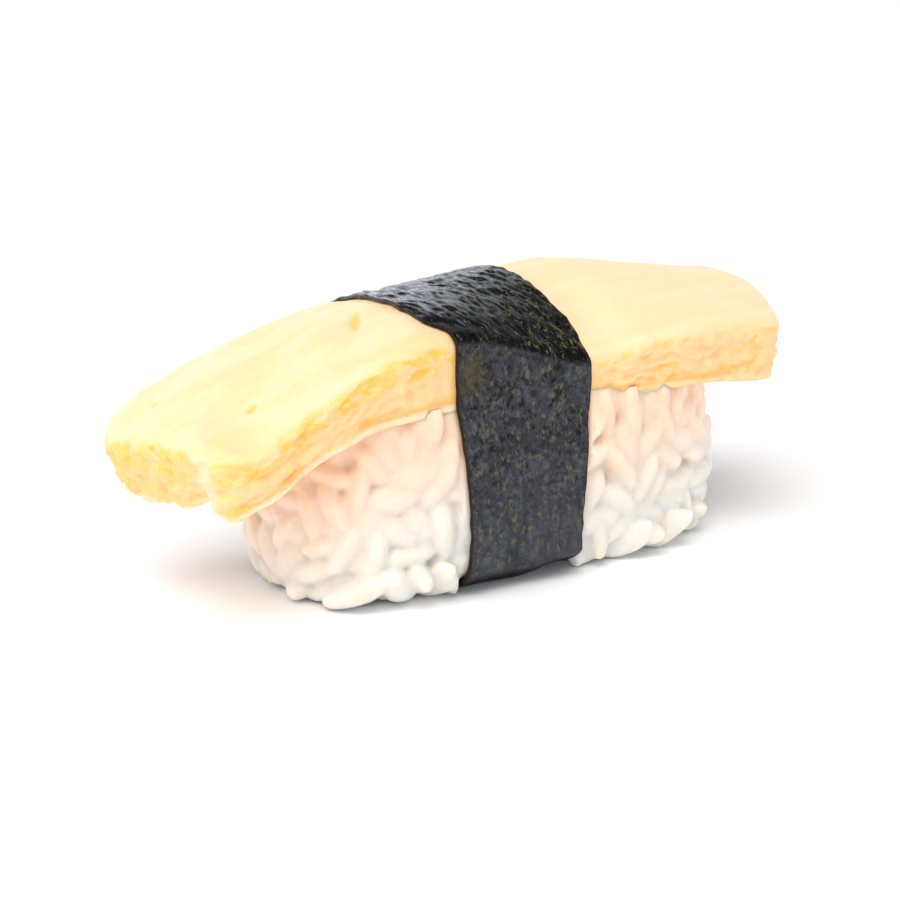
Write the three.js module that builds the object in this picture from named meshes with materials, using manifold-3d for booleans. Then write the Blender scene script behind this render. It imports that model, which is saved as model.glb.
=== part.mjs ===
// Tamago nigiri: a slice of omelette draped over a pressed block of rice and tied with a band of nori.
// Millimetres, +Z up. The origin is on the floor under the middle of the band. +X runs along the slice,
// and -Y is its front. The slice sags further over the rice at its -X end, and the band twists it a little.
import * as THREE from "three";
import { mergeVertices } from "three/addons/utils/BufferGeometryUtils.js";
import Module from "manifold-3d";

// Omelette slice
const SLICE_LENGTH = 79.4; // at mid-thickness
const SLICE_WIDTH = 29;
const SLICE_THICKNESS = 9.2; // at its crest
const SLICE_X = -0.3; // its middle
const SLICE_Y = -0.4;
const CREST_HEIGHT = 31.8; // top of the slice above the floor
const CREST_X = -7; // where it is highest, along its length
const TOP_ROUNDING = 1.7; // of its edges
const UNDERSIDE_ROUNDING = 1;

// Rice block
const RICE_LENGTH = 60;
const RICE_WIDTH = 28.6; // just under the slice
const RICE_BELLY = 1.7; // how far it swells out on either side below that
const RICE_X = 3.2; // its middle, along the slice
const GRAIN = { length: 6.6, width: 3.1, thickness: 2.7 };
const SIDE_SPACING = 2.05; // between grains on its side
const FOOT_SPACING = 3; // and on its underside
const FOOT_DEPTH = 0.7; // of the hollows between those, above the floor

// Nori band
const BAND_THICKNESS = 0.5;
const BAND_CORNERS = [1.7, 1.3, 3.8, 3.8]; // radii at its top back, top front, bottom front, bottom back
// Its left and right edges at those corners
const BAND_EDGES = [
  [-10.6, 10.6],
  [-10, 8.9],
  [-9, 6.3],
  [-9, 9],
];

const CLEARANCE = 0.3; // between pieces that touch

const SLICE_LEFT = SLICE_X - SLICE_LENGTH / 2;
const SLICE_RIGHT = SLICE_X + SLICE_LENGTH / 2;
const REST_HEIGHT = CREST_HEIGHT - SLICE_THICKNESS; // underside of the slice at its crest
const BAND_BASE = CLEARANCE + BAND_THICKNESS; // what the band leaves under the rice

const wasm = await Module();
wasm.setup();

const { lerp: mix, clamp, smoothstep } = THREE.MathUtils;

// ---- Closed surfaces ------------------------------------------------------------------------------

// A surface through rings of equal length, each counter-clockwise seen against the way they follow each
// other. Its ends are closed with a fan, or by joining the last ring to the first.
function ringSurface(rings, joined = false) {
  const count = rings[0].length;
  const points = rings.flat();
  const index = [];
  const spans = joined ? rings.length : rings.length - 1;
  for (let i = 0; i < spans; i++) {
    const here = i * count;
    const next = ((i + 1) % rings.length) * count;
    for (let j = 0; j < count; j++) {
      const k = (j + 1) % count;
      index.push(here + j, here + k, next + k, here + j, next + k, next + j);
    }
  }
  if (!joined) {
    const middle = (ring) =>
      ring.reduce((sum, p) => sum.add(p), new THREE.Vector3()).divideScalar(count);
    const last = (rings.length - 1) * count;
    const first = points.push(middle(rings[0])) - 1;
    const end = points.push(middle(rings.at(-1))) - 1;
    for (let j = 0; j < count; j++) {
      const k = (j + 1) % count;
      index.push(first, k, j, end, last + j, last + k);
    }
  }
  return new THREE.BufferGeometry().setFromPoints(points).setIndex(index);
}

// The points of a rectangle with round corners, counter-clockwise from the end of its right side. Each
// has v and w from -1 to 1 across and up, its outward normal, and `corner`: 0 at the top right corner, 1
// at the top left, and so on. Corner and side c have cornerSteps[c] and sideSteps[c] steps.
function roundedRectangle(halfWidth, halfHeight, radii, sideSteps, cornerSteps) {
  const signs = [
    [1, 1],
    [-1, 1],
    [-1, -1],
    [1, -1],
  ];
  const arcPoint = (c, share) => {
    const angle = (Math.PI / 2) * (c + share);
    const normal = [Math.cos(angle), Math.sin(angle)];
    return {
      v: (signs[c][0] * (halfWidth - radii[c]) + radii[c] * normal[0]) / halfWidth,
      w: (signs[c][1] * (halfHeight - radii[c]) + radii[c] * normal[1]) / halfHeight,
      normal,
      corner: c,
    };
  };
  const points = [];
  for (let c = 0; c < 4; c++) {
    for (let i = 0; i <= cornerSteps[c]; i++) {
      points.push(arcPoint(c, i / cornerSteps[c]));
    }
    const from = points.at(-1);
    const to = arcPoint((c + 1) % 4, 0);
    for (let i = 1; i < sideSteps[c]; i++) {
      const share = i / sideSteps[c];
      const [v, w] = [mix(from.v, to.v, share), mix(from.w, to.w, share)];
      points.push({ v, w, normal: from.normal, corner: c + share });
    }
  }
  return points;
}

// The six sides of a box as grids, divided at the given places along x, y and z.
function boxSurface(xs, ys, zs) {
  const points = [];
  const index = [];
  const axes = [xs, ys, zs];
  for (let axis = 0; axis < 3; axis++) {
    const [us, vs] = [axes[(axis + 1) % 3], axes[(axis + 2) % 3]];
    for (const end of [0, 1]) {
      const base = points.length;
      for (const u of us) {
        for (const v of vs) {
          const point = new THREE.Vector3();
          point.setComponent(axis, end ? axes[axis].at(-1) : axes[axis][0]);
          point.setComponent((axis + 1) % 3, u);
          point.setComponent((axis + 2) % 3, v);
          points.push(point);
        }
      }
      for (let i = 0; i < us.length - 1; i++) {
        for (let j = 0; j < vs.length - 1; j++) {
          const a = base + i * vs.length + j;
          const [b, c, d] = [a + vs.length, a + vs.length + 1, a + 1];
          index.push(...(end ? [a, b, c, a, c, d] : [a, c, b, a, d, c]));
        }
      }
    }
  }
  return new THREE.BufferGeometry().setFromPoints(points).setIndex(index);
}

function asSolid(geometry) {
  const bare = new THREE.BufferGeometry()
    .setAttribute("position", geometry.getAttribute("position"))
    .setIndex(geometry.index);
  const merged = mergeVertices(bare, 1e-4);
  return new wasm.Manifold(
    new wasm.Mesh({
      numProp: 3,
      vertProperties: new Float32Array(merged.attributes.position.array),
      triVerts: new Uint32Array(merged.index.array),
    }),
  );
}

function asGeometry(solid) {
  const mesh = solid.getMesh();
  return new THREE.BufferGeometry()
    .setAttribute("position", new THREE.BufferAttribute(mesh.vertProperties, 3))
    .setIndex(new THREE.BufferAttribute(mesh.triVerts, 1));
}

// ---- Omelette slice -------------------------------------------------------------------------------

// How far the slice hangs below its crest at x, from the depth at its left and right end.
function droop(x, left, right, leftPower) {
  const d = x - CREST_X;
  return d < 0
    ? left * Math.pow(d / (SLICE_LEFT - CREST_X), leftPower)
    : right * Math.pow(d / (SLICE_RIGHT - CREST_X), 2);
}

// The slice is rolled to the back on the left of the band and to the front on its right. Its left end
// is twisted to the back again.
function roll(x) {
  const reach = x / (x < 0 ? 13 : 11);
  const twist = 0.2 * smoothstep(-x, 34, 42);
  return 0.03 + 0.13 * reach * Math.exp(0.5 - 0.5 * reach * reach) - twist;
}

// 1 under the band, and down to 0 a little outside it.
const underBand = (x) => 1 - smoothstep(Math.abs(x), 10.9, 13.6);

// How deep the band presses into the slice. It is pulled tighter on its right.
const pinch = (x) => underBand(x) * (0.85 + 0.03 * clamp(x, -10, 10));

// The radius that the slice is bent to across its width.
const topCrown = (x) => mix(39, 30, smoothstep(x, -10, 10));
const UNDERSIDE_CROWN = 60;

// How far its back edge sags below that, up to the right edge of the band. Its left end stands up again.
const backSag = (x) => 1.7 - 2 * smoothstep(-x, 32, 40) - 1.5 * smoothstep(x, 7, 16);

// The back corner of its right end is worn down.
const wornCorner = (x, y) => 1.7 * smoothstep(x, 24, 37) * smoothstep(y, -5, 11);

function sliceTop(x, y) {
  const back = Math.max(0, (y - 2) / 12);
  const squeezed = 2.4 * smoothstep(x, 4, 10) * smoothstep(y, 4, 9); // beside the band, at its back right
  const sunk = droop(x, 10.5, 3.2, 2) + pinch(x - squeezed) + backSag(x) * back * back + wornCorner(x, y);
  return CREST_HEIGHT - sunk + roll(x) * y - (y * y) / (2 * topCrown(x));
}

const sliceUnderside = (x, y) =>
  REST_HEIGHT -
  droop(x, 12.4, 3.6, 3.4) +
  (x < -30 ? roll(x - 2.5) : 0.3 * roll(x)) * y -
  (y * y) / (2 * UNDERSIDE_CROWN);

const sliceHalfWidth = (x) => SLICE_WIDTH / 2 - 0.5 * pinch(x) - 0.4 * Math.pow(x / 40, 2);

// The cut faces wave where the layers were pulled, and the top and underside are a little uneven.
function sliceRelief(x, y, normal) {
  const side = Math.abs(normal.y);
  const pulled = Math.sin(x * 0.62 + y * 0.1) + 0.7 * Math.sin(x * 0.39 + 2 + normal.z);
  const uneven = Math.sin(x * 0.31 + y * 0.7) + Math.sin(y * 0.45 - x * 0.22 + 1);
  return (1 - underBand(x)) * (0.12 * side * pulled + 0.08 * Math.abs(normal.z) * uneven);
}

// Rounds the edges of a straight bar at a point of its surface and lays it over the rice.
function laySlice(point, grow) {
  const rounding = point.z > 0 ? TOP_ROUNDING : UNDERSIDE_ROUNDING;
  const reach = new THREE.Vector3(SLICE_LENGTH, SLICE_WIDTH, SLICE_THICKNESS)
    .divideScalar(2)
    .subScalar(rounding);
  const core = point.clone().clamp(reach.clone().negate(), reach);
  const normal = point.clone().sub(core).normalize();
  const out = rounding + grow + sliceRelief(SLICE_X + point.x, point.y, normal);
  const skin = core.addScaledVector(normal, out);
  const along = skin.x / SLICE_LENGTH + 0.5;
  const across = skin.y / (SLICE_WIDTH / 2);
  const level = skin.z / SLICE_THICKNESS;
  // both ends are cut on a slant, with the top further out, and their corners are worn round
  const corner = Math.pow(Math.abs(across), 5);
  const slant = (2.9 + 0.9 * across + 1.4 * level) * corner - (3 + across) * level;
  // a layer has torn away from the left end near its front, which leaves a groove and a nick below it
  const groove = (0.5 - level) * Math.exp(-(((across + 0.56) / 0.16) ** 2));
  const nick = 2 * Math.exp(-(((across + 0.62) / 0.2) ** 2)) * Math.pow(Math.max(0, 1 - along), 6);
  const left = (slant + groove) * Math.pow(Math.max(0, 1 - along), 4);
  const right = (1.3 * level + 0.4 * across - 2.1 * corner) * Math.pow(Math.max(0, along), 4);
  const x = SLICE_X + skin.x + left + right;
  const y = SLICE_Y + across * sliceHalfWidth(x);
  return new THREE.Vector3(x, y, mix(sliceUnderside(x, y) + nick, sliceTop(x, y), level + 0.5));
}

// Places from -half to half to divide a bar at, with two more in the rounding of either edge.
function divisions(half, between, lowRounding = TOP_ROUNDING, highRounding = TOP_ROUNDING) {
  return [
    ...[-half, -half + 0.59 * lowRounding, -half + lowRounding],
    ...between,
    ...[half - highRounding, half - 0.59 * highRounding, half],
  ];
}

function sliceGeometry(grow = 0) {
  const besideBand = [-13.6, -12.2, -11, -5.5, 0, 5.5, 11, 12.2, 13.6];
  const lengthwise = [-34.5, -31, -27.5, -24, -20.5, -17, ...besideBand, 17, 20.5, 24, 27.5, 31, 34.5];
  const geometry = boxSurface(
    divisions(SLICE_LENGTH / 2, lengthwise.map((x) => x - SLICE_X)),
    divisions(SLICE_WIDTH / 2, [-10.6, -8.1, -5.8, -3, 0, 3.2, 6.3, 9.5]),
    divisions(SLICE_THICKNESS / 2, [0], UNDERSIDE_ROUNDING),
  );
  const corners = geometry.getAttribute("position");
  for (let i = 0; i < corners.count; i++) {
    const point = new THREE.Vector3().fromBufferAttribute(corners, i);
    corners.setXYZ(i, ...laySlice(point, grow));
  }
  return geometry;
}

// ---- Nori band ------------------------------------------------------------------------------------

// How far the rice swells out to the front and back at height z.
function riceSwell(z) {
  return z < REST_HEIGHT ? RICE_BELLY * Math.sin((Math.PI * (z + 2)) / (REST_HEIGHT + 2)) : 0;
}

// The band's left and right edges at a place round its loop. It is widest on top, just behind its fold.
function bandEdges(corner) {
  const from = BAND_EDGES[Math.floor(corner) % 4];
  const to = BAND_EDGES[(Math.floor(corner) + 1) % 4];
  const wider = corner < 1 ? 1.4 * corner * smoothstep(1 - corner, 0, 0.14) : 0;
  const edge = [0, 1].map((side) => mix(from[side], to[side], smoothstep(corner % 1, 0, 1)));
  return [edge[0] - wider, edge[1] + 0.6 * wider];
}

// The band's loop across its width at `across` from 0 to 1, `out` from the food that it ties.
function bandRing(across, out, margin) {
  const [wide, high] = [SLICE_WIDTH / 2, CREST_HEIGHT / 2];
  const section = roundedRectangle(wide, high, BAND_CORNERS, [12, 12, 9, 12], [3, 3, 4, 4]);
  return section.map(({ v, w, corner }) => {
    const edge = bandEdges(corner);
    const x = mix(edge[0] - margin, edge[1] + margin, across);
    const height = (w + 1) / 2;
    const swell = riceSwell(mix(BAND_BASE, sliceTop(x, SLICE_Y), height));
    const y = SLICE_Y + v * (sliceHalfWidth(x) + swell + out);
    const z = mix(BAND_BASE - out, sliceTop(x, y) + out, height);
    return new THREE.Vector3(x, y, z);
  });
}

function bandGeometry(inner, outer, margin = 0) {
  const steps = 4;
  const rings = [];
  for (let i = 0; i <= steps; i++) {
    rings.push(bandRing(i / steps, outer, margin));
  }
  for (let i = steps; i >= 0; i--) {
    rings.push(bandRing(i / steps, inner, margin));
  }
  return ringSurface(rings, true);
}

// ---- Rice -----------------------------------------------------------------------------------------

function seededRandom(seed) {
  let state = seed;
  return () => {
    state = (state * 1664525 + 1013904223) % 4294967296;
    return state / 4294967296;
  };
}

// A point of the block's side, `inset` inside it, at an angle round it and a height. The block tucks in
// at its foot, and its ends narrow to the top.
function riceSide(angle, z, inset) {
  const squareness = 2 / 2.8;
  const bend = (value) => Math.sign(value) * Math.pow(Math.abs(value), squareness);
  const foot = Math.max(0, 1 - z / 6) ** 2;
  const shoulder = Math.max(0, (z - 9) / 14);
  const halfLength = RICE_LENGTH / 2 - 3.6 * foot - 1.2 * shoulder - inset;
  const halfWidth = RICE_WIDTH / 2 + riceSwell(z) - 0.7 * foot - inset;
  const reach = bend(Math.cos(angle));
  const swing = -2.2 * Math.max(0, -reach) ** 2; // its left end swings to the front
  return new THREE.Vector3(
    RICE_X + reach * halfLength,
    SLICE_Y + swing + bend(Math.sin(angle)) * halfWidth,
    z,
  );
}

function coreSolid() {
  const levels = [FOOT_DEPTH, 2, 5, 10, 16, REST_HEIGHT + 2];
  const sides = 30;
  const rings = levels.map((z) =>
    Array.from({ length: sides }, (_, i) =>
      riceSide((i / sides) * 2 * Math.PI, z, 0.55 * GRAIN.thickness),
    ),
  );
  // under the band the rice is pressed smooth
  const pressed = [0, 1].map((across) => bandRing(across, 0, CLEARANCE));
  return asSolid(ringSurface(rings)).add(asSolid(ringSurface(pressed)));
}

// A cooked grain at its true size, blunt at both ends, with its length along `axis`.
function grainSolid({ place, axis, spin, size }) {
  const geometry = new THREE.SphereGeometry(0.5, 5, 4);
  const corners = geometry.getAttribute("position");
  for (let i = 0; i < corners.count; i++) {
    const plump = Math.abs(corners.getY(i)) > 0.1 ? 1.32 : 1.12;
    corners.setX(i, corners.getX(i) * plump);
    corners.setZ(i, corners.getZ(i) * plump);
  }
  geometry.scale(GRAIN.width * size, GRAIN.length * size, GRAIN.thickness * size);
  geometry.rotateY(spin);
  const turn = new THREE.Quaternion().setFromUnitVectors(new THREE.Vector3(0, 1, 0), axis);
  geometry.applyQuaternion(turn);
  geometry.translate(place.x, place.y, place.z);
  return asSolid(geometry);
}

// Adds a grain unless its middle or an end comes too near one that is there.
function addGrain(grains, grain, spacing) {
  grain.marks = [-0.3, 0, 0.3].map((t) =>
    grain.place.clone().addScaledVector(grain.axis, t * GRAIN.length),
  );
  const crowded = grains.some((other) =>
    other.marks.some((a) => grain.marks.some((b) => a.distanceTo(b) < spacing)),
  );
  if (!crowded) grains.push(grain);
}

// Covers the side of the block, lying along it at every slant. The lowest lie flat on the floor.
function addSideGrains(grains, random) {
  const up = new THREE.Vector3(0, 0, 1);
  for (let tries = 0; tries < 6000; tries++) {
    const angle = random() * 2 * Math.PI;
    const z = mix(1.3, REST_HEIGHT, random());
    const place = riceSide(angle, z, mix(0.4, 0.75, random()) * GRAIN.thickness);
    const hidden = Math.abs(place.x) < 7.5 || z > sliceUnderside(place.x, place.y) + 0.8;
    const round = riceSide(angle + 0.01, z, 0).sub(riceSide(angle - 0.01, z, 0)).normalize();
    const outward = new THREE.Vector3().crossVectors(round, up);
    const lean = z < 2.5 ? 0.2 : 1;
    const heading = (random() - 0.5) * Math.PI * lean;
    const axis = round
      .multiplyScalar(Math.cos(heading))
      .addScaledVector(up, Math.sin(heading))
      .addScaledVector(outward, (random() - 0.5) * 0.7 * lean)
      .normalize();
    const grain = { place, axis, spin: random() * Math.PI, size: mix(0.88, 1.06, random()) };
    if (!hidden) addGrain(grains, grain, SIDE_SPACING);
  }
}

// Lying in the underside, to be cut off level with the floor.
function addFootGrains(grains, random) {
  for (let tries = 0; tries < 1500; tries++) {
    const reach = Math.sqrt(random()) * 0.86;
    const rim = riceSide(random() * 2 * Math.PI, 0, 0);
    const place = new THREE.Vector3(mix(RICE_X, rim.x, reach), rim.y * reach, 1.1);
    const heading = random() * Math.PI;
    const axis = new THREE.Vector3(Math.cos(heading), Math.sin(heading), 0);
    const grain = { place, axis, spin: random() * Math.PI, size: 1 };
    if (Math.abs(place.x) > 9.5) addGrain(grains, grain, FOOT_SPACING);
  }
}

// Grains that have come loose at the foot of the block and at its right end: place and heading.
const STRAY_GRAINS = [
  { place: [-21.4, -11.9, 1.3], heading: -0.5 },
  { place: [-17.6, -12.8, 1.4], heading: 0.3 },
  { place: [-16.2, -12.6, 3.4], heading: -1.1 },
  { place: [-13, -14.4, 1.4], heading: -0.8 },
  { place: [-23.4, -5, 1.3], heading: 1.8 },
  { place: [15, -14.2, 1.3], heading: -0.3 },
  { place: [18.6, -15, 1.4], heading: 0.4 },
  { place: [25.4, -10.6, 1.3], heading: 0.7 },
  { place: [34, -4.4, 8], heading: 0.2 },
  { place: [-16, 11.8, 1.3], heading: 0.3 },
  { place: [17, 13.2, 1.3], heading: -0.4 },
];

function riceGeometry() {
  const random = seededRandom(7);
  const grains = [];
  STRAY_GRAINS.forEach(({ place, heading }) => {
    const axis = new THREE.Vector3(Math.cos(heading), Math.sin(heading), 0.12).normalize();
    const grain = { place: new THREE.Vector3(...place), axis, spin: 0.4, size: 1 };
    addGrain(grains, grain, 0);
  });
  addSideGrains(grains, random);
  addFootGrains(grains, random);
  const heap = wasm.Manifold.union([coreSolid(), ...grains.map(grainSolid)]);
  const floor = asSolid(new THREE.BoxGeometry(200, 200, 20).translate(0, 0, -10));
  const pressed = heap
    .subtract(asSolid(sliceGeometry(CLEARANCE)))
    .subtract(asSolid(bandGeometry(0, 6, CLEARANCE)))
    .subtract(floor);
  const bodies = pressed.decompose().sort((a, b) => b.volume() - a.volume());
  return asGeometry(bodies[0]); // without loose scraps and sealed hollows
}

// ---- The nigiri -----------------------------------------------------------------------------------

function piece(name, geometry, color, roughness) {
  const material = new THREE.MeshStandardMaterial({ color, roughness, metalness: 0 });
  const mesh = new THREE.Mesh(geometry, material);
  mesh.name = name;
  return mesh;
}

const nigiri = new THREE.Group();
nigiri.add(
  piece("egg_slice", sliceGeometry(), 0xf8dc93, 0.55),
  piece("nori_band", bandGeometry(CLEARANCE, CLEARANCE + BAND_THICKNESS), 0x23282b, 0.5),
  piece("rice_block", riceGeometry(), 0xf1e9dc, 0.45),
);

export default nigiri;
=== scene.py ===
# Tamago nigiri: a slice of omelette draped over a pressed block of rice and tied with a band of nori.
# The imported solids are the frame. Shapes are worked out in millimetres, in the frame's own axes: +X runs
# along the slice, -Y is the front, and the origin is on the floor under the middle of the band.
import math

import bpy
import numpy as np
from mathutils import Matrix, Vector, kdtree, noise


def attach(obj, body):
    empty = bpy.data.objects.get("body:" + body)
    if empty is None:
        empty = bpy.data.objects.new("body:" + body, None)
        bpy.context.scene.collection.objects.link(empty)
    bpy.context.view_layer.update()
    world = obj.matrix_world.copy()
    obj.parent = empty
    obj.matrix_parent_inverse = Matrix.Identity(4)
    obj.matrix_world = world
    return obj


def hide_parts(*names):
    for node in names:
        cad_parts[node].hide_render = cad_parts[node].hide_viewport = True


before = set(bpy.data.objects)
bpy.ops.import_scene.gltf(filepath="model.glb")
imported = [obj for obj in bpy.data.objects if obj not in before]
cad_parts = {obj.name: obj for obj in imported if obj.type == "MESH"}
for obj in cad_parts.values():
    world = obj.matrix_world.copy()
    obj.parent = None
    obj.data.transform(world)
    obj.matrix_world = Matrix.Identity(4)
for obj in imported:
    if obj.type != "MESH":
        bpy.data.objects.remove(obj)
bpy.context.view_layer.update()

# ---- Camera ---------------------------------------------------------------------------------------
# Stands a little left of the front and looks down on the nigiri, with a long lens, so that the slice's
# cut face, its top and its left end all show.

CAMERA_AZIMUTH = math.radians(-35)
CAMERA_ELEVATION = math.radians(17)
CAMERA_DISTANCE = 0.4
FOCAL_LENGTH = 136  # mm, on a sensor of 36 mm
SENSOR = 36
PICTURE_SIZE = 900
ORIGIN_PIXEL = (452, 546)  # where the origin shows in the picture

to_right = Vector((math.cos(CAMERA_AZIMUTH), math.sin(CAMERA_AZIMUTH), 0))
ahead = Vector(
    (
        -math.sin(CAMERA_AZIMUTH) * math.cos(CAMERA_ELEVATION),
        math.cos(CAMERA_AZIMUTH) * math.cos(CAMERA_ELEVATION),
        -math.sin(CAMERA_ELEVATION),
    )
)
upward = to_right.cross(ahead)
pixel = CAMERA_DISTANCE * SENSOR / FOCAL_LENGTH / PICTURE_SIZE

camera = bpy.data.objects.new("camera", bpy.data.cameras.new("camera"))
camera.data.lens = FOCAL_LENGTH
camera.data.sensor_width = SENSOR
camera.data.clip_start = 0.01
turn = Matrix((to_right, upward, -ahead)).transposed().to_4x4()
place = (
    -CAMERA_DISTANCE * ahead
    - to_right * (ORIGIN_PIXEL[0] - PICTURE_SIZE / 2) * pixel
    + upward * (ORIGIN_PIXEL[1] - PICTURE_SIZE / 2) * pixel
)
camera.matrix_world = Matrix.Translation(place) @ turn
bpy.context.scene.collection.objects.link(camera)
bpy.context.scene.camera = camera

# ---- Rice -----------------------------------------------------------------------------------------
# Short-grain rice, cooked and seasoned, is pressed by hand into a block. Its grains keep their shape and
# stick together in every direction, a few come loose at the foot, and the block swells out at its waist.

MM = 0.001

GRAIN_LENGTH = 7.3
GRAIN_WIDTH = 3.7
GRAIN_THICKNESS = 2.8

BLOCK_LENGTH = 60
BLOCK_WIDTH = 28.6  # just under the slice
BLOCK_BELLY = 1.7  # how far it swells out on either side below that
BLOCK_X = 3.2
SLICE_Y = -0.4  # the middle of the slice and of all that is under it

SLICE_LENGTH = 79.4
SLICE_WIDTH = 29
SLICE_THICKNESS = 9.2
SLICE_X = -0.3
UNDERSIDE_ROUNDING = 1.0
CREST_HEIGHT = 31.8  # top of the slice above the floor
CREST_X = -7
SLICE_LEFT = SLICE_X - SLICE_LENGTH / 2
SLICE_RIGHT = SLICE_X + SLICE_LENGTH / 2
REST_HEIGHT = CREST_HEIGHT - SLICE_THICKNESS


def smoothstep(value, low, high):
    share = np.clip((value - low) / (high - low), 0, 1)
    return share * share * (3 - 2 * share)


def mix(a, b, share):
    return a + (b - a) * share


def droop(x, left, right, left_power):
    """How far the slice hangs below its crest at x, from the depth at its left and right end."""
    left_share = np.clip((x - CREST_X) / (SLICE_LEFT - CREST_X), 0, None)
    right_share = np.clip((x - CREST_X) / (SLICE_RIGHT - CREST_X), 0, None)
    return left * left_share**left_power + right * right_share**2


def roll(x):
    """The slope of the slice across its width at x. The band twists it, and its left end turns back."""
    reach = x / np.where(x < 0, 13, 11)
    twist = 0.2 * smoothstep(-x, 34, 42)
    return 0.03 + 0.13 * reach * np.exp(0.5 - 0.5 * reach * reach) - twist


def slice_underside(x, y):
    slope = mix(0.3 * roll(x), roll(x - 2.5), smoothstep(-x, 29, 31))
    return REST_HEIGHT - droop(x, 12.4, 3.6, 3.4) + slope * y - y * y / 120


def beside_band(x):
    """0 under the band, and up to 1 a little outside it."""
    return smoothstep(np.abs(x), 10.9, 13.6)


def pinch(x):
    """How deep the band presses into the slice. It is pulled tighter on its right, where the slice fills
    out again more gently.
    """
    filled_out = np.where(x < 0, 13.6, 18)
    return (1 - smoothstep(np.abs(x), 10.9, filled_out)) * (0.85 + 0.03 * np.clip(x, -10, 10))


def slice_top(x, y):
    """The top is crowned, its back sags left of the band, and the back corner of its right end is worn."""
    crown = mix(39, 30, smoothstep(x, -10, 10))
    back_sag = 1.7 - 2 * smoothstep(-x, 32, 40) - 1.5 * smoothstep(x, 7, 16)
    worn_corner = 1.7 * smoothstep(x, 24, 37) * smoothstep(y, -5, 11)
    squeezed = 2.4 * smoothstep(x, 4, 10) * smoothstep(y, 4, 9)
    sunk = droop(x, 10.5, 3.2, 2) + pinch(x - squeezed) + worn_corner
    sunk = sunk + back_sag * np.clip((y - 2) / 12, 0, None) ** 2
    return CREST_HEIGHT - sunk + roll(x) * y - y * y / (2 * crown)


def slice_half_width(x):
    return SLICE_WIDTH / 2 - 0.5 * pinch(x) - 0.4 * (x / 40) ** 2


def rice_swell(z):
    """How far the rice swells out to the front and back at height z."""
    swell = BLOCK_BELLY * np.sin(math.pi * (z + 2) / (REST_HEIGHT + 2))
    return np.where(z < REST_HEIGHT, swell, 0)


def block_size(z):
    """Half of the block's length and width at height z. It tucks in at its foot."""
    foot = np.clip(1 - z / 6, 0, None) ** 2
    shoulder = np.clip((z - 9) / 14, 0, None)
    half_length = BLOCK_LENGTH / 2 - 3.6 * foot - 1.2 * shoulder
    half_width = BLOCK_WIDTH / 2 + rice_swell(z) - 0.7 * foot
    return half_length, half_width


SQUARENESS = 2.8  # of the block seen from above, where 2 is an ellipse


def block_swing(x):
    """The block's left end swings to the front."""
    return -2.2 * np.clip((BLOCK_X - x) / (BLOCK_LENGTH / 2), 0, 1) ** 2


def block_side(angle, z, inset):
    """Points of the block's side at an angle round it and a height, `inset` inside it."""
    half_length, half_width = block_size(z)
    across = np.sign(np.cos(angle)) * np.abs(np.cos(angle)) ** (2 / SQUARENESS)
    along = np.sign(np.sin(angle)) * np.abs(np.sin(angle)) ** (2 / SQUARENESS)
    x = BLOCK_X + across * (half_length - inset)
    y = SLICE_Y + block_swing(x) + along * (half_width - inset)
    return np.stack([x, y, z + 0 * x], axis=-1)


def block_depth(points):
    """How deep points are inside the block's side, and the way out, level with the floor."""
    half_length, half_width = block_size(points[:, 2])
    x = (points[:, 0] - BLOCK_X) / half_length
    y = (points[:, 1] - SLICE_Y - block_swing(points[:, 0])) / half_width
    reach = np.maximum((np.abs(x) ** SQUARENESS + np.abs(y) ** SQUARENESS) ** (1 / SQUARENESS), 1e-3)
    slope = np.stack(
        [
            np.sign(x) * np.abs(x / reach) ** (SQUARENESS - 1) / half_length,
            np.sign(y) * np.abs(y / reach) ** (SQUARENESS - 1) / half_width,
            0 * x,
        ],
        axis=-1,
    )
    steepness = np.linalg.norm(slope, axis=1)
    return (1 - reach) / steepness, slope / steepness[:, None]


BAND_BASE = 0.8  # the height of the pinched rice over the floor
BAND_INNER = 0.3  # the distance of the band's inside from the food that it ties

BAND_CORNERS = [1.7, 1.3, 3.8, 3.8]  # radii at its top back, top front, bottom front and bottom back

# The band's left and right edges at its top back, top front, bottom front and bottom back corners.
BAND_EDGES = np.array([[-10.6, 10.6], [-10, 8.9], [-9, 6.3], [-9, 9]])


def curled_up(x, y, z):
    """How far the band's bottom front edge curls off the floor, towards its right."""
    return 0.8 * smoothstep(-y, 9, 13) * smoothstep(x, -2, 5) * (1 - smoothstep(z, 0, 6))


def under_band(points, margin):
    """1 where points are behind the band, and down to 0 over a millimetre at `margin` inside its edges."""
    height = np.clip(points[:, 2] / REST_HEIGHT, 0, 1)
    front = mix(BAND_EDGES[2, 1], BAND_EDGES[1, 1], height)
    back = mix(BAND_EDGES[3, 1], BAND_EDGES[0, 1], height)
    left = mix(BAND_EDGES[2, 0], BAND_EDGES[1, 0], height) + margin
    right = np.where(points[:, 1] < 0, front, back) - margin
    inside = np.minimum(points[:, 0] - left, right - points[:, 0])
    return smoothstep(inside, -0.5, 0.5)


# Where the grains lie. They are drawn at random in a shell along the block's side, and then pushed apart.

SHELLS = [(1.3, 280), (3.2, 170)]  # how deep the middles of its grains lie, and how many there are
FOOT_GRAINS = 50
GRAIN_MARKS = np.array([-1.75, 0, 1.75])  # places along a grain that keep their distance from others
SETTLING_ROUNDS = 90

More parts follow.
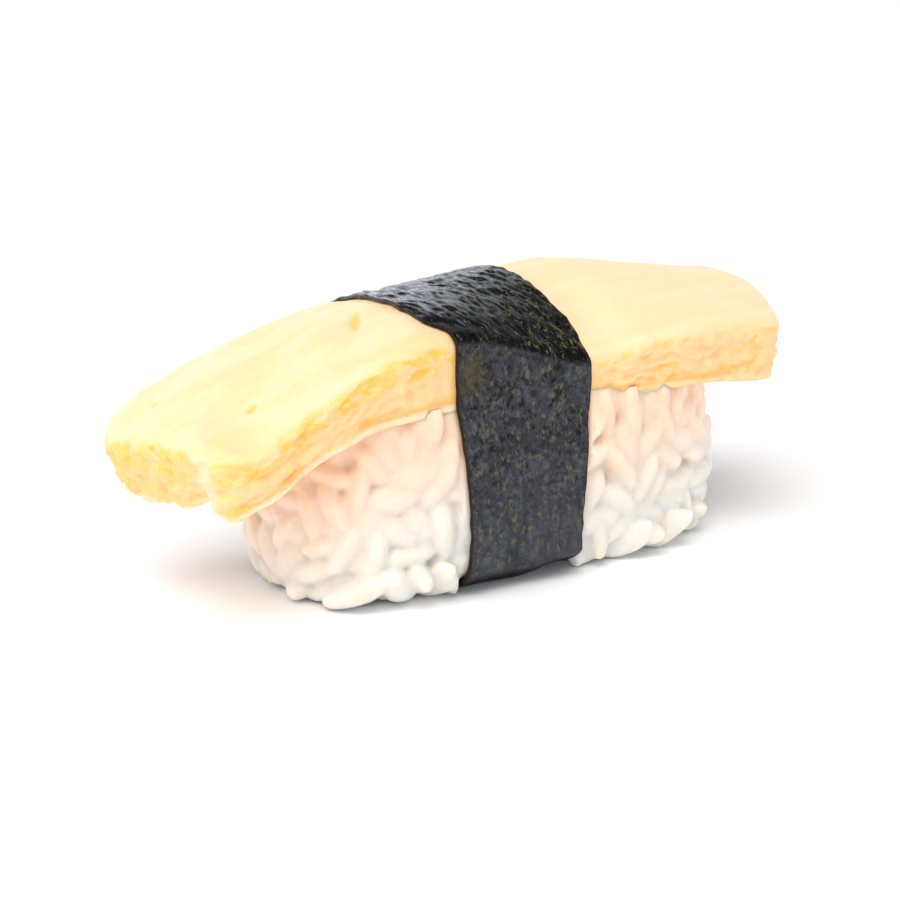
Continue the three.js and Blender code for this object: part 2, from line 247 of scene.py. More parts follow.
# Grains that have come loose at the foot of the block and at its right end: x, y, z and heading.
LOOSE_GRAINS = np.array(
    [
        [-21.8, -12.4, 1.4, -0.5],
        [-17, -13.8, 1.4, -0.4],
        [-14.6, -14.0, 3.2, -1.0],
        [-12.2, -14.2, 1.4, -0.7],
        [-23.4, -5, 1.4, 1.8],
        [14.2, -14.8, 1.4, -0.3],
        [17.2, -13.8, 1.4, -0.9],
        [20.6, -13.8, 1.4, 0.4],
        [25.4, -10.6, 1.4, 0.7],
        [32.2, -5, 9.5, -0.4],
        [-16, 11.8, 1.4, 0.3],
        [17, 13.2, 1.4, -0.4],
    ]
)

random = np.random.default_rng(11)


def unit(vectors):
    return vectors / np.linalg.norm(vectors, axis=-1, keepdims=True)


def drawn_grains():
    """Middles, axes and target depths of the grains before they settle. Loose ones have no depth."""
    middles = [LOOSE_GRAINS[:, :3]]
    headings = LOOSE_GRAINS[:, 3]
    axes = [np.stack([np.cos(headings), np.sin(headings), 0.1 + 0 * headings], axis=-1)]
    depths = [np.full(len(LOOSE_GRAINS), np.nan)]
    for depth, count in SHELLS:
        angle = random.uniform(0, 2 * math.pi, count)
        height = random.uniform(1.4, REST_HEIGHT - 1, count)
        middle = block_side(angle, height, depth)
        outward = block_depth(middle)[1]
        level = np.stack([-outward[:, 1], outward[:, 0], 0 * height], axis=-1)
        heading = random.uniform(-1, 1, count) * np.where(height < 3, 0.25, math.pi / 2)
        axis = level * np.cos(heading)[:, None] + np.array([0, 0, 1]) * np.sin(heading)[:, None]
        middles.append(middle)
        axes.append(axis + outward * random.uniform(-0.5, 0.5, count)[:, None])
        depths.append(np.full(count, depth))
    angle = random.uniform(0, 2 * math.pi, FOOT_GRAINS)
    rim = block_side(angle, 0 * angle, 0)
    share = np.sqrt(random.uniform(0, 0.8, FOOT_GRAINS))[:, None]
    middle = mix(np.array([BLOCK_X, SLICE_Y, 1.3]), rim + np.array([0, 0, 1.3]), share)
    outward = block_depth(middle)[1]
    slanted = outward * random.uniform(-0.7, 0.7, FOOT_GRAINS)[:, None]
    middles.append(middle)
    axes.append(slanted + np.stack([-outward[:, 1], outward[:, 0], 0 * angle], axis=-1))
    depths.append(np.full(FOOT_GRAINS, np.nan))
    return np.concatenate(middles), unit(np.concatenate(axes)), np.concatenate(depths)


def settle(middles, axes, depths):
    """Pushes grains apart where their marks are too close, and back to their depth in the block."""
    first, second = np.triu_indices(len(middles), 1)
    reach = GRAIN_LENGTH * 1.1
    spacing = GRAIN_THICKNESS * 1.02
    for _ in range(SETTLING_ROUNDS):
        near = np.linalg.norm(middles[first] - middles[second], axis=1) < reach
        a, b = first[near], second[near]
        moves = np.zeros_like(middles)
        turns = np.zeros_like(middles)
        for mark in GRAIN_MARKS:
            for other in GRAIN_MARKS:
                gap = middles[a] + axes[a] * mark - middles[b] - axes[b] * other
                distance = np.maximum(np.linalg.norm(gap, axis=1), 1e-6)
                push = gap / distance[:, None] * np.clip(spacing - distance, 0, None)[:, None]
                np.add.at(moves, a, push)
                np.add.at(moves, b, -push)
                np.add.at(turns, a, push * mark)
                np.add.at(turns, b, -push * other)
        loose = np.isnan(depths)
        moves[: len(LOOSE_GRAINS)] = 0
        middles = middles + 0.2 * moves
        axes = unit(axes + 0.02 * turns)
        depth, outward = block_depth(middles)
        pressed = np.where(depths < 2, 0.35 * under_band(middles, -2), 0)
        error = np.where(loose, np.minimum(depth - 1.8, 0), depth - depths - pressed)
        error[: len(LOOSE_GRAINS)] = 0
        middles = middles + outward * error[:, None]
        slant = 0.3 * np.sum(axes * outward, axis=1)
        slant[: len(LOOSE_GRAINS)] = 0
        axes = unit(axes - outward * slant[:, None])
        steepest = mix(0.5, 1, smoothstep(middles[:, 2], 2.4, 5))
        axes[:, 2] = np.clip(axes[:, 2], -steepest, steepest)
        axes = unit(axes)
        tall = np.abs(axes[:, 2])
        lowest = 1.35 + 1.9 * tall
        highest = slice_underside(middles[:, 0], middles[:, 1]) - 0.9 - 1.2 * tall
        middles[:, 2] = np.clip(middles[:, 2], lowest, np.maximum(highest, lowest))
    return middles, axes


grain_middles, grain_axes, grain_depths = drawn_grains()
grain_middles, grain_axes = settle(grain_middles, grain_axes, grain_depths)
showing = under_band(grain_middles, 2.5) < 0.5
grain_middles, grain_axes = grain_middles[showing], grain_axes[showing]

# One grain's mesh, round and blunt, and then bent, tapered, flattened and sized for each grain.

GRAIN_SIDES = 14
GRAIN_RINGS = 11


def grain_pattern():
    """A grain of length 2 along z and radius 1, blunt at its ends, and the faces between its points."""
    lengthwise = np.linspace(0, math.pi, GRAIN_RINGS + 1)[1:-1]
    round_angle = np.arange(GRAIN_SIDES) * 2 * math.pi / GRAIN_SIDES
    radius = np.sin(lengthwise)[:, None] ** 0.95
    rings = np.stack(
        [
            radius * np.cos(round_angle),
            radius * np.sin(round_angle),
            np.cos(lengthwise)[:, None] + 0 * round_angle,
        ],
        axis=-1,
    ).reshape(-1, 3)
    points = np.concatenate([rings, [[0, 0, 1], [0, 0, -1]]])
    faces = []
    top, bottom = len(rings), len(rings) + 1
    last = len(rings) - GRAIN_SIDES
    for j in range(GRAIN_SIDES):
        k = (j + 1) % GRAIN_SIDES
        faces.append([top, j, k])
        faces.append([bottom, last + k, last + j])
        for i in range(0, last, GRAIN_SIDES):
            faces.append([i + j, i + GRAIN_SIDES + j, i + k])
            faces.append([i + k, i + GRAIN_SIDES + j, i + GRAIN_SIDES + k])
    return points, np.array(faces)


def all_grains(middles, axes):
    """The points and faces of every grain, and each one's own random number."""
    pattern, faces = grain_pattern()
    count = len(middles)
    size = random.normal(1, 0.055, (count, 1)).clip(0.86, 1.1)
    size[: len(LOOSE_GRAINS)] = 1.08
    x, y, z = (pattern[:, i][None] + np.zeros((count, 1)) for i in range(3))
    taper = random.uniform(-0.16, 0.16, (count, 1))
    bend = random.uniform(-0.22, 0.22, (count, 1))
    swirl = random.uniform(0, 2 * math.pi, (count, 1))
    dent = random.uniform(0.05, 0.3, (count, 1)) * smoothstep(z, 0.45, 0.95) * smoothstep(x, 0.05, 0.6)
    wide = 0.5 * GRAIN_WIDTH * size * random.uniform(0.92, 1.06, (count, 1))
    thick = 0.5 * GRAIN_THICKNESS * size * random.uniform(0.92, 1.06, (count, 1))
    uneven = 1 + 0.035 * np.sin(3 * z + 2 * np.arctan2(y, x) + swirl) + 0.03 * np.sin(5 * z - swirl)
    across = (x * (1 + taper * z) * uneven - dent + bend * (z * z - 0.4)) * wide
    through = y * (1 - 0.5 * taper * z) * uneven * thick
    along = z * (1 - 0.35 * dent) * 0.5 * GRAIN_LENGTH * size * random.uniform(0.9, 1.06, (count, 1))
    spin = random.uniform(0, 2 * math.pi, (count, 1))
    side = unit(np.cross(axes, [[0.3, 0.2, 0.93]]))
    other_side = np.cross(axes, side)
    right_way = np.cos(spin) * side + np.sin(spin) * other_side
    other_way = np.cross(axes, right_way)
    points = (
        middles[:, None]
        + across[..., None] * right_way[:, None]
        + through[..., None] * other_way[:, None]
        + along[..., None] * axes[:, None]
    )
    all_faces = faces[None] + (np.arange(count) * len(pattern))[:, None, None]
    return points.reshape(-1, 3), all_faces.reshape(-1, 3), random.uniform(0, 1, count)


def new_piece(name, points, faces, marks=None, material=None):
    """A smooth mesh from points in millimetres, with numbers that its material reads at each point."""
    mesh = bpy.data.meshes.new(name)
    mesh.from_pydata((points * MM).tolist(), [], faces.tolist())
    mesh.polygons.foreach_set("use_smooth", [True] * len(mesh.polygons))
    for mark, values in (marks or {}).items():
        attribute = mesh.attributes.new(mark, "FLOAT", "POINT")
        attribute.data.foreach_set("value", np.asarray(values, np.float32))
    mesh.materials.append(material)
    piece = bpy.data.objects.new(name, mesh)
    bpy.context.scene.collection.objects.link(piece)
    return piece


class Shade:
    """A socket in a material. A formula written on it adds the Math nodes."""

    def __init__(self, tree, socket=None):
        self.tree = tree
        self.socket = socket

    def node(self, kind, settings=None, inputs=None, output=0):
        """Adds a node, with its settings set before the values or links of its sockets."""
        made = self.tree.nodes.new(kind)
        for name, value in (settings or {}).items():
            setattr(made, name, value)
        for name, value in (inputs or {}).items():
            if isinstance(value, Shade):
                self.tree.links.new(value.socket, made.inputs[name])
            else:
                made.inputs[name].default_value = value
        return Shade(self.tree, made.outputs[output])

    def math(self, operation, *values):
        return self.node("ShaderNodeMath", {"operation": operation}, dict(enumerate(values)))

    def __add__(self, other):
        return self.math("ADD", self, other)

    __radd__ = __add__

    def __sub__(self, other):
        return self.math("SUBTRACT", self, other)

    def __rsub__(self, other):
        return self.math("SUBTRACT", other, self)

    def __mul__(self, other):
        return self.math("MULTIPLY", self, other)

    __rmul__ = __mul__

    def rise(self, low, high):
        """0 below low and 1 above high, with a smooth step between them."""
        return self.node(
            "ShaderNodeMapRange",
            {"interpolation_type": "SMOOTHSTEP"},
            {"Value": self, "From Min": low, "From Max": high},
        )

    def blend(self, colour, other):
        """The first colour where this is 0, and the other where it is 1."""
        return self.node(
            "ShaderNodeMix", {"data_type": "RGBA"}, {"Factor": self, 6: colour, 7: other}, output=2
        )

    def mark(self, name):
        """A number that the mesh keeps at each of its points."""
        return self.node("ShaderNodeAttribute", {"attribute_name": name}, output=2)

    def place(self):
        """The place on the nigiri, in metres."""
        return self.node("ShaderNodeTexCoord", output=3)

    def speckle(self, size, detail=2.0, roughness=0.5, distortion=0.0):
        """Smooth noise from 0 to 1, with spots of about that size, given in millimetres along X, Y and Z."""
        stretched = self.node(
            "ShaderNodeVectorMath",
            {"operation": "MULTIPLY"},
            {0: self.place(), 1: [1 / (s * MM) for s in size]},
        )
        return self.node(
            "ShaderNodeTexNoise",
            inputs={
                "Vector": stretched,
                "Scale": 1.0,
                "Detail": detail,
                "Roughness": roughness,
                "Distortion": distortion,
            },
        )

    def bump(self, height, depth):
        """A surface direction from a height between 0 and 1 that stands for `depth` millimetres."""
        return self.node("ShaderNodeBump", inputs={"Height": height, "Distance": depth * MM})


def colour(red, green, blue):
    """A screen colour, with parts from 0 to 255, as the linear colour that a shader takes."""
    parts = np.array([red, green, blue]) / 255
    linear = np.where(parts <= 0.04045, parts / 12.92, ((parts + 0.055) / 1.055) ** 2.4)
    return (*linear.tolist(), 1.0)


def new_material(name):
    """An empty material, as a Shade to add its nodes to."""
    material = bpy.data.materials.new(name)
    material.use_nodes = True
    material.node_tree.nodes.clear()
    return material, Shade(material.node_tree)


def finish_material(shade, inputs):
    """Joins the surface's own shader, with these sockets, to the material's output."""
    surface = shade.node("ShaderNodeBsdfPrincipled", inputs=inputs)
    output = shade.tree.nodes.new("ShaderNodeOutputMaterial")
    shade.tree.links.new(surface.socket, output.inputs["Surface"])


def painted_glow_under_slice(points):
    """Painted light: 1 just under the slice and down to 0 some way below, a peach glow of light bounced from
    the omelette. It reaches further down under the slice's overhanging left end, where it also stands for
    the shade there.
    """
    below = slice_underside(points[:, 0], points[:, 1]) - points[:, 2]
    reach = 14 + 9 * smoothstep(-points[:, 0], 15, 26)
    return 1 - smoothstep(below / reach, 0.04, 1)


def rice_marks(points, own, margin):
    """Each grain's own number, the painted glow under the slice, and how deep in the block and how near a
    gap between grains it is, for painted shade.
    """
    return {
        "own": own,
        "painted_glow": painted_glow_under_slice(points),
        "deep": smoothstep(block_depth(points)[0], 0.7, 2.2),
        "gap": 1 - smoothstep(margin, 0, 0.5),
    }


GRAIN_WHITE = colour(226, 225, 220)
GRAIN_CREAM = colour(224, 214, 198)
PAINTED_GLOW_PEACH = colour(244, 202, 168)
PAINTED_GAP_SHADE = colour(226, 186, 146)

rice_finish, shade = new_material("cooked_rice")
cream = shade.speckle((2.6, 2.6, 2.6), detail=3.0).rise(0.35, 0.7)
body = (shade.mark("own") * 0.5 + cream * 0.5).blend(GRAIN_WHITE, GRAIN_CREAM)
# Painted light: a peach glow of light bounced from the omelette, laid on the rice just under the slice.
glow_painted_rice = (shade.mark("painted_glow") * 0.75).blend(body, PAINTED_GLOW_PEACH)
# Painted shade: a tan darkening deep in the block and in the gaps between grains.
gap_shade_amount = shade.mark("deep") * (0.35 + 0.5 * shade.mark("gap"))
gap_shaded = gap_shade_amount.blend(glow_painted_rice, PAINTED_GAP_SHADE)
grain_skin = shade.speckle((0.7, 0.7, 0.7), detail=3.0)
finish_material(
    shade,
    {
        "Base Color": gap_shaded,
        "Roughness": 0.3 + 0.2 * shade.speckle((1.4, 1.4, 1.4)),
        "IOR": 1.42,
        "Subsurface Weight": 1.0,
        "Subsurface Radius": (1.0, 0.8, 0.6),
        "Subsurface Scale": 0.0015,
        "Coat Weight": 0.2,
        "Coat Roughness": 0.2,
        "Normal": shade.bump(grain_skin, 0.12),
    },
)

# The rice behind them is a closed core, lumpy with grains that are pressed flat.

CORE_SIDES = 160
CORE_LEVELS = 32
CORE_FOOT = 0.8  # how far its underside is above the floor
CORE_INSET = 1.6


def lumps(points, size):
    """Smooth random heights from -1 to 1, with lumps of that size in millimetres along each axis."""
    return np.array([noise.noise(Vector(p)) for p in (points / np.array(size)).tolist()])


def core_shape():
    """The points and faces of the core, in rings from its foot up, with both ends closed by a fan."""
    angle = np.arange(CORE_SIDES) * 2 * math.pi / CORE_SIDES
    rings = []
    for share in np.linspace(0, 1, CORE_LEVELS):
        rim = block_side(angle, np.full(CORE_SIDES, mix(CORE_FOOT, REST_HEIGHT, share)), CORE_INSET)
        ceiling = slice_underside(rim[:, 0], rim[:, 1]) + 1.4
        rim[:, 2] = mix(CORE_FOOT, np.maximum(ceiling, CORE_FOOT + 4), share)
        mashed = smoothstep(lumps(rim, (7, 7, 6)) + rim[:, 2] / 30, 0.25, 0.6)
        inset = mix(mix(CORE_INSET, 0.35, mashed), 0, under_band(rim, 0))
        rings.append(block_side(angle, rim[:, 2], inset))
    points = np.concatenate(rings)
    last = len(points) - CORE_SIDES
    points = np.concatenate([points, [rings[0].mean(0), rings[-1].mean(0)]])
    faces = []
    for j in range(CORE_SIDES):
        k = (j + 1) % CORE_SIDES
        faces.append([len(points) - 2, k, j])
        faces.append([len(points) - 1, last + j, last + k])
        for i in range(0, last, CORE_SIDES):
            faces.append([i + j, i + k, i + CORE_SIDES + k])
            faces.append([i + j, i + CORE_SIDES + k, i + CORE_SIDES + j])
    return points, np.array(faces)


# Starch glues the grains into one body, so their skins are fused where they touch.

FUSING_STEP = 0.33


def fused(points, faces):
    """One closed skin round overlapping bodies."""
    rough = new_piece("grains_to_fuse", points, faces)
    remesh = rough.modifiers.new("fuse", "REMESH")
    remesh.mode = "VOXEL"
    remesh.voxel_size = FUSING_STEP * MM
    smooth = rough.modifiers.new("soften", "SMOOTH")
    smooth.factor = 0.5
    smooth.iterations = 1
    mesh = rough.evaluated_get(bpy.context.evaluated_depsgraph_get()).to_mesh()
    new_points = np.zeros(len(mesh.vertices) * 3)
    mesh.vertices.foreach_get("co", new_points)
    new_faces = [tuple(face.vertices) for face in mesh.polygons]
    bpy.data.objects.remove(rough)
    return new_points.reshape(-1, 3) / MM, np.array(new_faces)


def tied(points, gap):
    """Brings points inside the band's loop, at a gap from the food's own outline that the band follows."""
    x, y, z = points.T
    top = slice_top(x, y)
    share = (z - BAND_BASE) / (top - BAND_BASE)
    room = slice_half_width(x) + rice_swell(mix(BAND_BASE, slice_top(x, SLICE_Y), share)) + gap
    radius = BAND_CORNERS[2]
    straight = SLICE_WIDTH / 2 - radius
    over = np.clip(np.abs(y - SLICE_Y) / room, 0, 1) * SLICE_WIDTH / 2 - straight
    under = radius - np.clip(share, 0, 1) * CREST_HEIGHT
    reach = np.hypot(np.clip(over, 0, None), np.clip(under, 0, None))
    shrink = np.where((over > 0) & (under > 0), np.minimum(1, radius / np.maximum(reach, 1e-6)), 1)
    y = SLICE_Y + np.sign(y - SLICE_Y) * room * (straight + over * shrink) / (SLICE_WIDTH / 2)
    z = mix(BAND_BASE, top, (radius - under * shrink) / CREST_HEIGHT)
    return np.stack([x, y, z + curled_up(x, y, z)], axis=-1)


def pressed_smooth(points):
    """Flattens the rice against the slice above it, the band round it and the floor."""
    held = under_band(points, -0.4)[:, None]
    points = mix(points, tied(points, 0.05), held)
    x, y, z = points.T
    past = np.clip(np.abs(y - SLICE_Y) - slice_half_width(x) + UNDERSIDE_ROUNDING, 0, 1)
    ceiling = slice_underside(x, y) + 0.1 + 0.15 * past + UNDERSIDE_ROUNDING - np.sqrt(1 - past**2)
    return np.stack([x, y, np.clip(z, 0, ceiling)], axis=-1)


# Between two grains that touch, the nearest two grains are equally far away.

AXIS_SAMPLES = np.linspace(-0.36, 0.36, 5)


def grain_neighbours(points):
    """For each point, the number of the nearest grain and how much further away the next one is."""
    samples = grain_middles[:, None] + grain_axes[:, None] * AXIS_SAMPLES[:, None] * GRAIN_LENGTH
    tree = kdtree.KDTree(samples.shape[0] * len(AXIS_SAMPLES))
    for number, sample in enumerate(samples.reshape(-1, 3).tolist()):
        tree.insert(sample, number)
    tree.balance()
    numbers = []
    margins = []
    for point in points.tolist():
        found = tree.find_n(point, 9)
        first = found[0][1] // len(AXIS_SAMPLES)
        others = [away for _, number, away in found if number // len(AXIS_SAMPLES) != first]
        numbers.append(first)
        margins.append(others[0] - found[0][2] if others else 3.0)
    return np.array(numbers), np.array(margins)


grain_points, grain_faces, grain_own = all_grains(grain_middles, grain_axes)
core_points, core_faces = core_shape()
rice_points, rice_faces = fused(
    np.concatenate([grain_points, core_points]),
    np.concatenate([grain_faces, core_faces + len(grain_points)]),
)
rice_points = pressed_smooth(rice_points)
nearest_grain, next_margin = grain_neighbours(rice_points)
marks = rice_marks(rice_points, grain_own[nearest_grain], next_margin)
rice_block = new_piece("rice", rice_points, rice_faces, marks, rice_finish)
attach(rice_block, "root")
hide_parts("rice_block")

# ---- Omelette slice -------------------------------------------------------------------------------
# A thick rolled omelette, cooked in thin layers and cut across. Its top is pale and smooth, its cut faces
# are deeper yellow and rough where the layers were pulled, and it sags over the rice of its own weight.

TOP_ROUNDING = 1.7
SLICE_STEP = 0.4


def slice_relief(x, y, normal):
    """The cut faces wave where the layers were pulled, and the top and underside are a little uneven."""
    side = np.abs(normal[:, 1])
    pulled = np.sin(x * 0.62 + y * 0.1) + 0.7 * np.sin(x * 0.39 + 2 + normal[:, 2])
    uneven = np.sin(x * 0.31 + y * 0.7) + np.sin(y * 0.45 - x * 0.22 + 1)
    return beside_band(x) * (0.12 * side * pulled + 0.08 * np.abs(normal[:, 2]) * uneven)


# Small holes that steam has left in the top: x, y, half length, half width, heading and depth.
STEAM_HOLES = [
    (-32.5, -8.6, 0.65, 0.5, 0, 0.5),
    (-16.7, -5.2, 2.6, 0.6, 0.94, 0.45),
    (-37, 4.6, 0.6, 0.5, 0, 0.3),
    (-41.3, 4.6, 0.5, 0.4, 0, 0.3),
    (19.5, 9, 0.7, 0.5, 0, 0.3),
    (23.5, 4, 0.8, 0.5, 0, 0.25),
]


def box_surface(xs, ys, zs):
    """Points over the six sides of a box, divided at the given places, and the faces between them."""
    number = np.full((len(xs), len(ys), len(zs)), -1)
    surface = np.zeros(number.shape, bool)
    surface[[0, -1]] = True
    surface[:, [0, -1]] = True
    surface[:, :, [0, -1]] = True
    number[surface] = np.arange(surface.sum())
    points = np.stack(np.meshgrid(xs, ys, zs, indexing="ij"), axis=-1)[surface]
    faces = []
    for axis in range(3):
        for end in (0, -1):
            side = np.moveaxis(number, axis, 0)[end]
            corners = [side[:-1, :-1], side[1:, :-1], side[1:, 1:], side[:-1, 1:]]
            quads = np.stack(corners, axis=-1).reshape(-1, 4)
            turned = (end == 0) != (axis == 1)
            faces.append(quads[:, ::-1] if turned else quads)
    return points, np.concatenate(faces)


def divided(length):
    return np.linspace(-length / 2, length / 2, round(length / SLICE_STEP) + 1)


def slice_shape():
    """The slice's points and faces, and the places along, across and up a straight bar they come from."""
    bar, faces = box_surface(divided(SLICE_LENGTH), divided(SLICE_WIDTH), divided(SLICE_THICKNESS))
    rounding = np.where(bar[:, 2:] > 0, TOP_ROUNDING, UNDERSIDE_ROUNDING)
    reach = np.array([SLICE_LENGTH, SLICE_WIDTH, SLICE_THICKNESS]) / 2 - rounding
    core = np.clip(bar, -reach, reach)
    normal = unit(bar - core)
    out = rounding[:, 0] + slice_relief(SLICE_X + bar[:, 0], bar[:, 1], normal)
    cut = 1 - smoothstep(np.abs(normal[:, 2]), 0.3, 0.9)
    torn = 0.75 * lumps(bar, (2.6, 2.6, 1.7)) + 0.8 * lumps(bar + 9, (1.3, 1.3, 0.9))
    dimpled = 0.25 * lumps(bar, (7, 3.4, 3)) + 0.1 * lumps(bar, (2.4, 1.2, 2))
    free = beside_band(SLICE_X + bar[:, 0])
    out += mix(0.2, mix(0.3 * dimpled, 0.46 * torn, cut), free)
    skin = core + normal * out[:, None]
    along = skin[:, 0] / SLICE_LENGTH + 0.5
    across = skin[:, 1] / (SLICE_WIDTH / 2)
    level = skin[:, 2] / SLICE_THICKNESS
    corner = np.abs(across) ** 5
    slant = (2.9 + 0.9 * across + 1.4 * level) * corner - (3 + across) * level
    groove = (0.5 - level) * np.exp(-(((across + 0.56) / 0.16) ** 2))
    nick = 0.7 * np.exp(-(((across + 0.62) / 0.2) ** 2)) * np.clip(1 - along, 0, None) ** 6
    left = (slant + groove) * np.clip(1 - along, 0, None) ** 4
    right = (1.3 * level + 0.4 * across - 2.1 * corner) * np.clip(along, 0, None) ** 4
    x = SLICE_X + skin[:, 0] + left + right
    y = SLICE_Y + across * slice_half_width(x)
    z = mix(slice_underside(x, y) + nick, slice_top(x, y), level + 0.5)
    hole = 0 * x
    for hole_x, hole_y, half_length, half_width, heading, depth in STEAM_HOLES:
        ahead_of_it = (x - hole_x) * math.cos(heading) + (y - hole_y) * math.sin(heading)
        beside_it = (y - hole_y) * math.cos(heading) - (x - hole_x) * math.sin(heading)
        away = (ahead_of_it / half_length) ** 2 + (beside_it / half_width) ** 2
        hole = np.maximum(hole, np.exp(-away) * depth)
    z = z - hole * smoothstep(normal[:, 2], 0.6, 0.9)
    end = smoothstep(-normal[:, 0], 0.4, 0.8)
    marks = {
        "cut": cut,
        "level": level + 0.5,
        "left": smoothstep(-x, -4, 4),
        # Hollows of the torn cut face, where the material paints shade.
        "dip_shade": smoothstep(-torn, 0.02, 0.5),
        "end": end,
        "wrap": end * np.exp(-(((across + 0.7) / 0.12) ** 2)),
        "hole": hole / 0.45,
    }
    return np.stack([x, y, z], axis=-1), faces, marks


EGG_PALE = colour(250, 213, 174)
EGG_YELLOW = colour(250, 203, 150)
EGG_GOLD_AND_DIP_SHADE = colour(250, 194, 88)
EGG_PEACH = colour(250, 204, 150)
EGG_ORANGE = colour(248, 172, 66)
EGG_LIP = colour(252, 222, 188)
EGG_HOLE = colour(238, 192, 92)

omelette_finish, shade = new_material("omelette")
cut = shade.mark("cut")
level = shade.mark("level")
streaks = shade.speckle((34, 3.4, 3.4), detail=2.0, distortion=0.3).rise(0.4, 0.6)
clouds = shade.speckle((9, 6, 4), detail=2.0).rise(0.35, 0.7)
top_colour = ((streaks * 0.6 + clouds * 0.2) * (0.6 + 0.4 * shade.mark("left"))).blend(EGG_PALE, EGG_YELLOW)
blotches = shade.speckle((3.2, 3.2, 1.6), detail=4.0, roughness=0.6).rise(0.38, 0.62)
golden = level.rise(0.5, 0.72) * (1 - level.rise(0.86, 0.97)) * shade.mark("left")
cut_colour = (blotches * 0.8).blend(EGG_YELLOW, EGG_PEACH)
streaked = shade.speckle((2.6, 2.6, 1.4), detail=4.0, roughness=0.65, distortion=0.8).rise(0.42, 0.6)
# Golden streaks near the top of the cut face, and painted shade deepening the colour in the dips of its torn
# surface.
golden_and_dip_shade_colour = (golden * streaked * 0.9 + shade.mark("dip_shade") * 0.45).blend(cut_colour, EGG_GOLD_AND_DIP_SHADE)
seam = level.rise(0.12, 0.2) * (1 - level.rise(0.22, 0.42))
seam_colour = (seam * shade.speckle((12, 12, 3)).rise(0.4, 0.6) * 0.65).blend(golden_and_dip_shade_colour, EGG_ORANGE)
lip = (1 - level.rise(0.1, 0.19)) * (0.25 + 0.65 * shade.mark("left"))
lip_colour = lip.blend(seam_colour, EGG_LIP)
end_colour = (shade.mark("end") * (0.1 + 0.3 * blotches)).blend(lip_colour, EGG_GOLD_AND_DIP_SHADE)
skin_colour = shade.mark("wrap").blend(end_colour, EGG_PALE)
surface_colour = cut.blend(top_colour, skin_colour)
with_holes = (shade.mark("hole").rise(0.1, 0.8) * 0.8).blend(surface_colour, EGG_HOLE)
curd = shade.speckle((1.1, 1.1, 0.8), detail=4.0, roughness=0.6)
finish_material(
    shade,
    {
        "Base Color": with_holes,
        "Roughness": 0.42 + 0.2 * shade.speckle((2, 2, 2), detail=3.0),
        "IOR": 1.4,
        "Subsurface Weight": 0.7,
        "Subsurface Radius": (1.0, 0.6, 0.22),
        "Subsurface Scale": 0.0014,
        "Normal": shade.bump(curd * (0.25 + cut), 0.3),
    },
)

slice_points, slice_faces, slice_marks = slice_shape()
egg_slice = new_piece("omelette_slice", slice_points, slice_faces, slice_marks, omelette_finish)
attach(egg_slice, "root")
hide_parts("egg_slice")

# ---- Nori band ------------------------------------------------------------------------------------
# A strip of pressed and toasted seaweed, a fifth of a millimetre thick, wound once round slice and rice.
# It is smooth and dull in front, but moisture from the omelette has wrinkled it on top.

BAND_OUTER = 0.7  # the distance of its outside from the slice
CORNER_STEPS = [14, 14, 22, 22]
SIDE_STEPS = [104, 104, 82, 104]
BAND_STEPS = 76


def band_section():
    """A rectangle with round corners, counter-clockwise seen from the right, from the end of its back.

    Gives each point's place across and up from -1 to 1, and its corner: 0 at the top back, 1 at the top
    front, and so on, with parts of one along the sides.
    """
    half_width = SLICE_WIDTH / 2
    half_height = CREST_HEIGHT / 2
    signs = [(1, 1), (-1, 1), (-1, -1), (1, -1)]

    def arc_point(c, share):
        angle = math.pi / 2 * (c + share)
        radius = BAND_CORNERS[c]
        v = (signs[c][0] * (half_width - radius) + radius * math.cos(angle)) / half_width
        w = (signs[c][1] * (half_height - radius) + radius * math.sin(angle)) / half_height
        return v, w

    points = []
    for c in range(4):
        for i in range(CORNER_STEPS[c] + 1):
            points.append((*arc_point(c, i / CORNER_STEPS[c]), c))
        start = arc_point(c, 1)
        end = arc_point((c + 1) % 4, 0)
        for i in range(1, SIDE_STEPS[c]):
            share = i / SIDE_STEPS[c]
            points.append((mix(start[0], end[0], share), mix(start[1], end[1], share), c + share))
    return np.array(points)


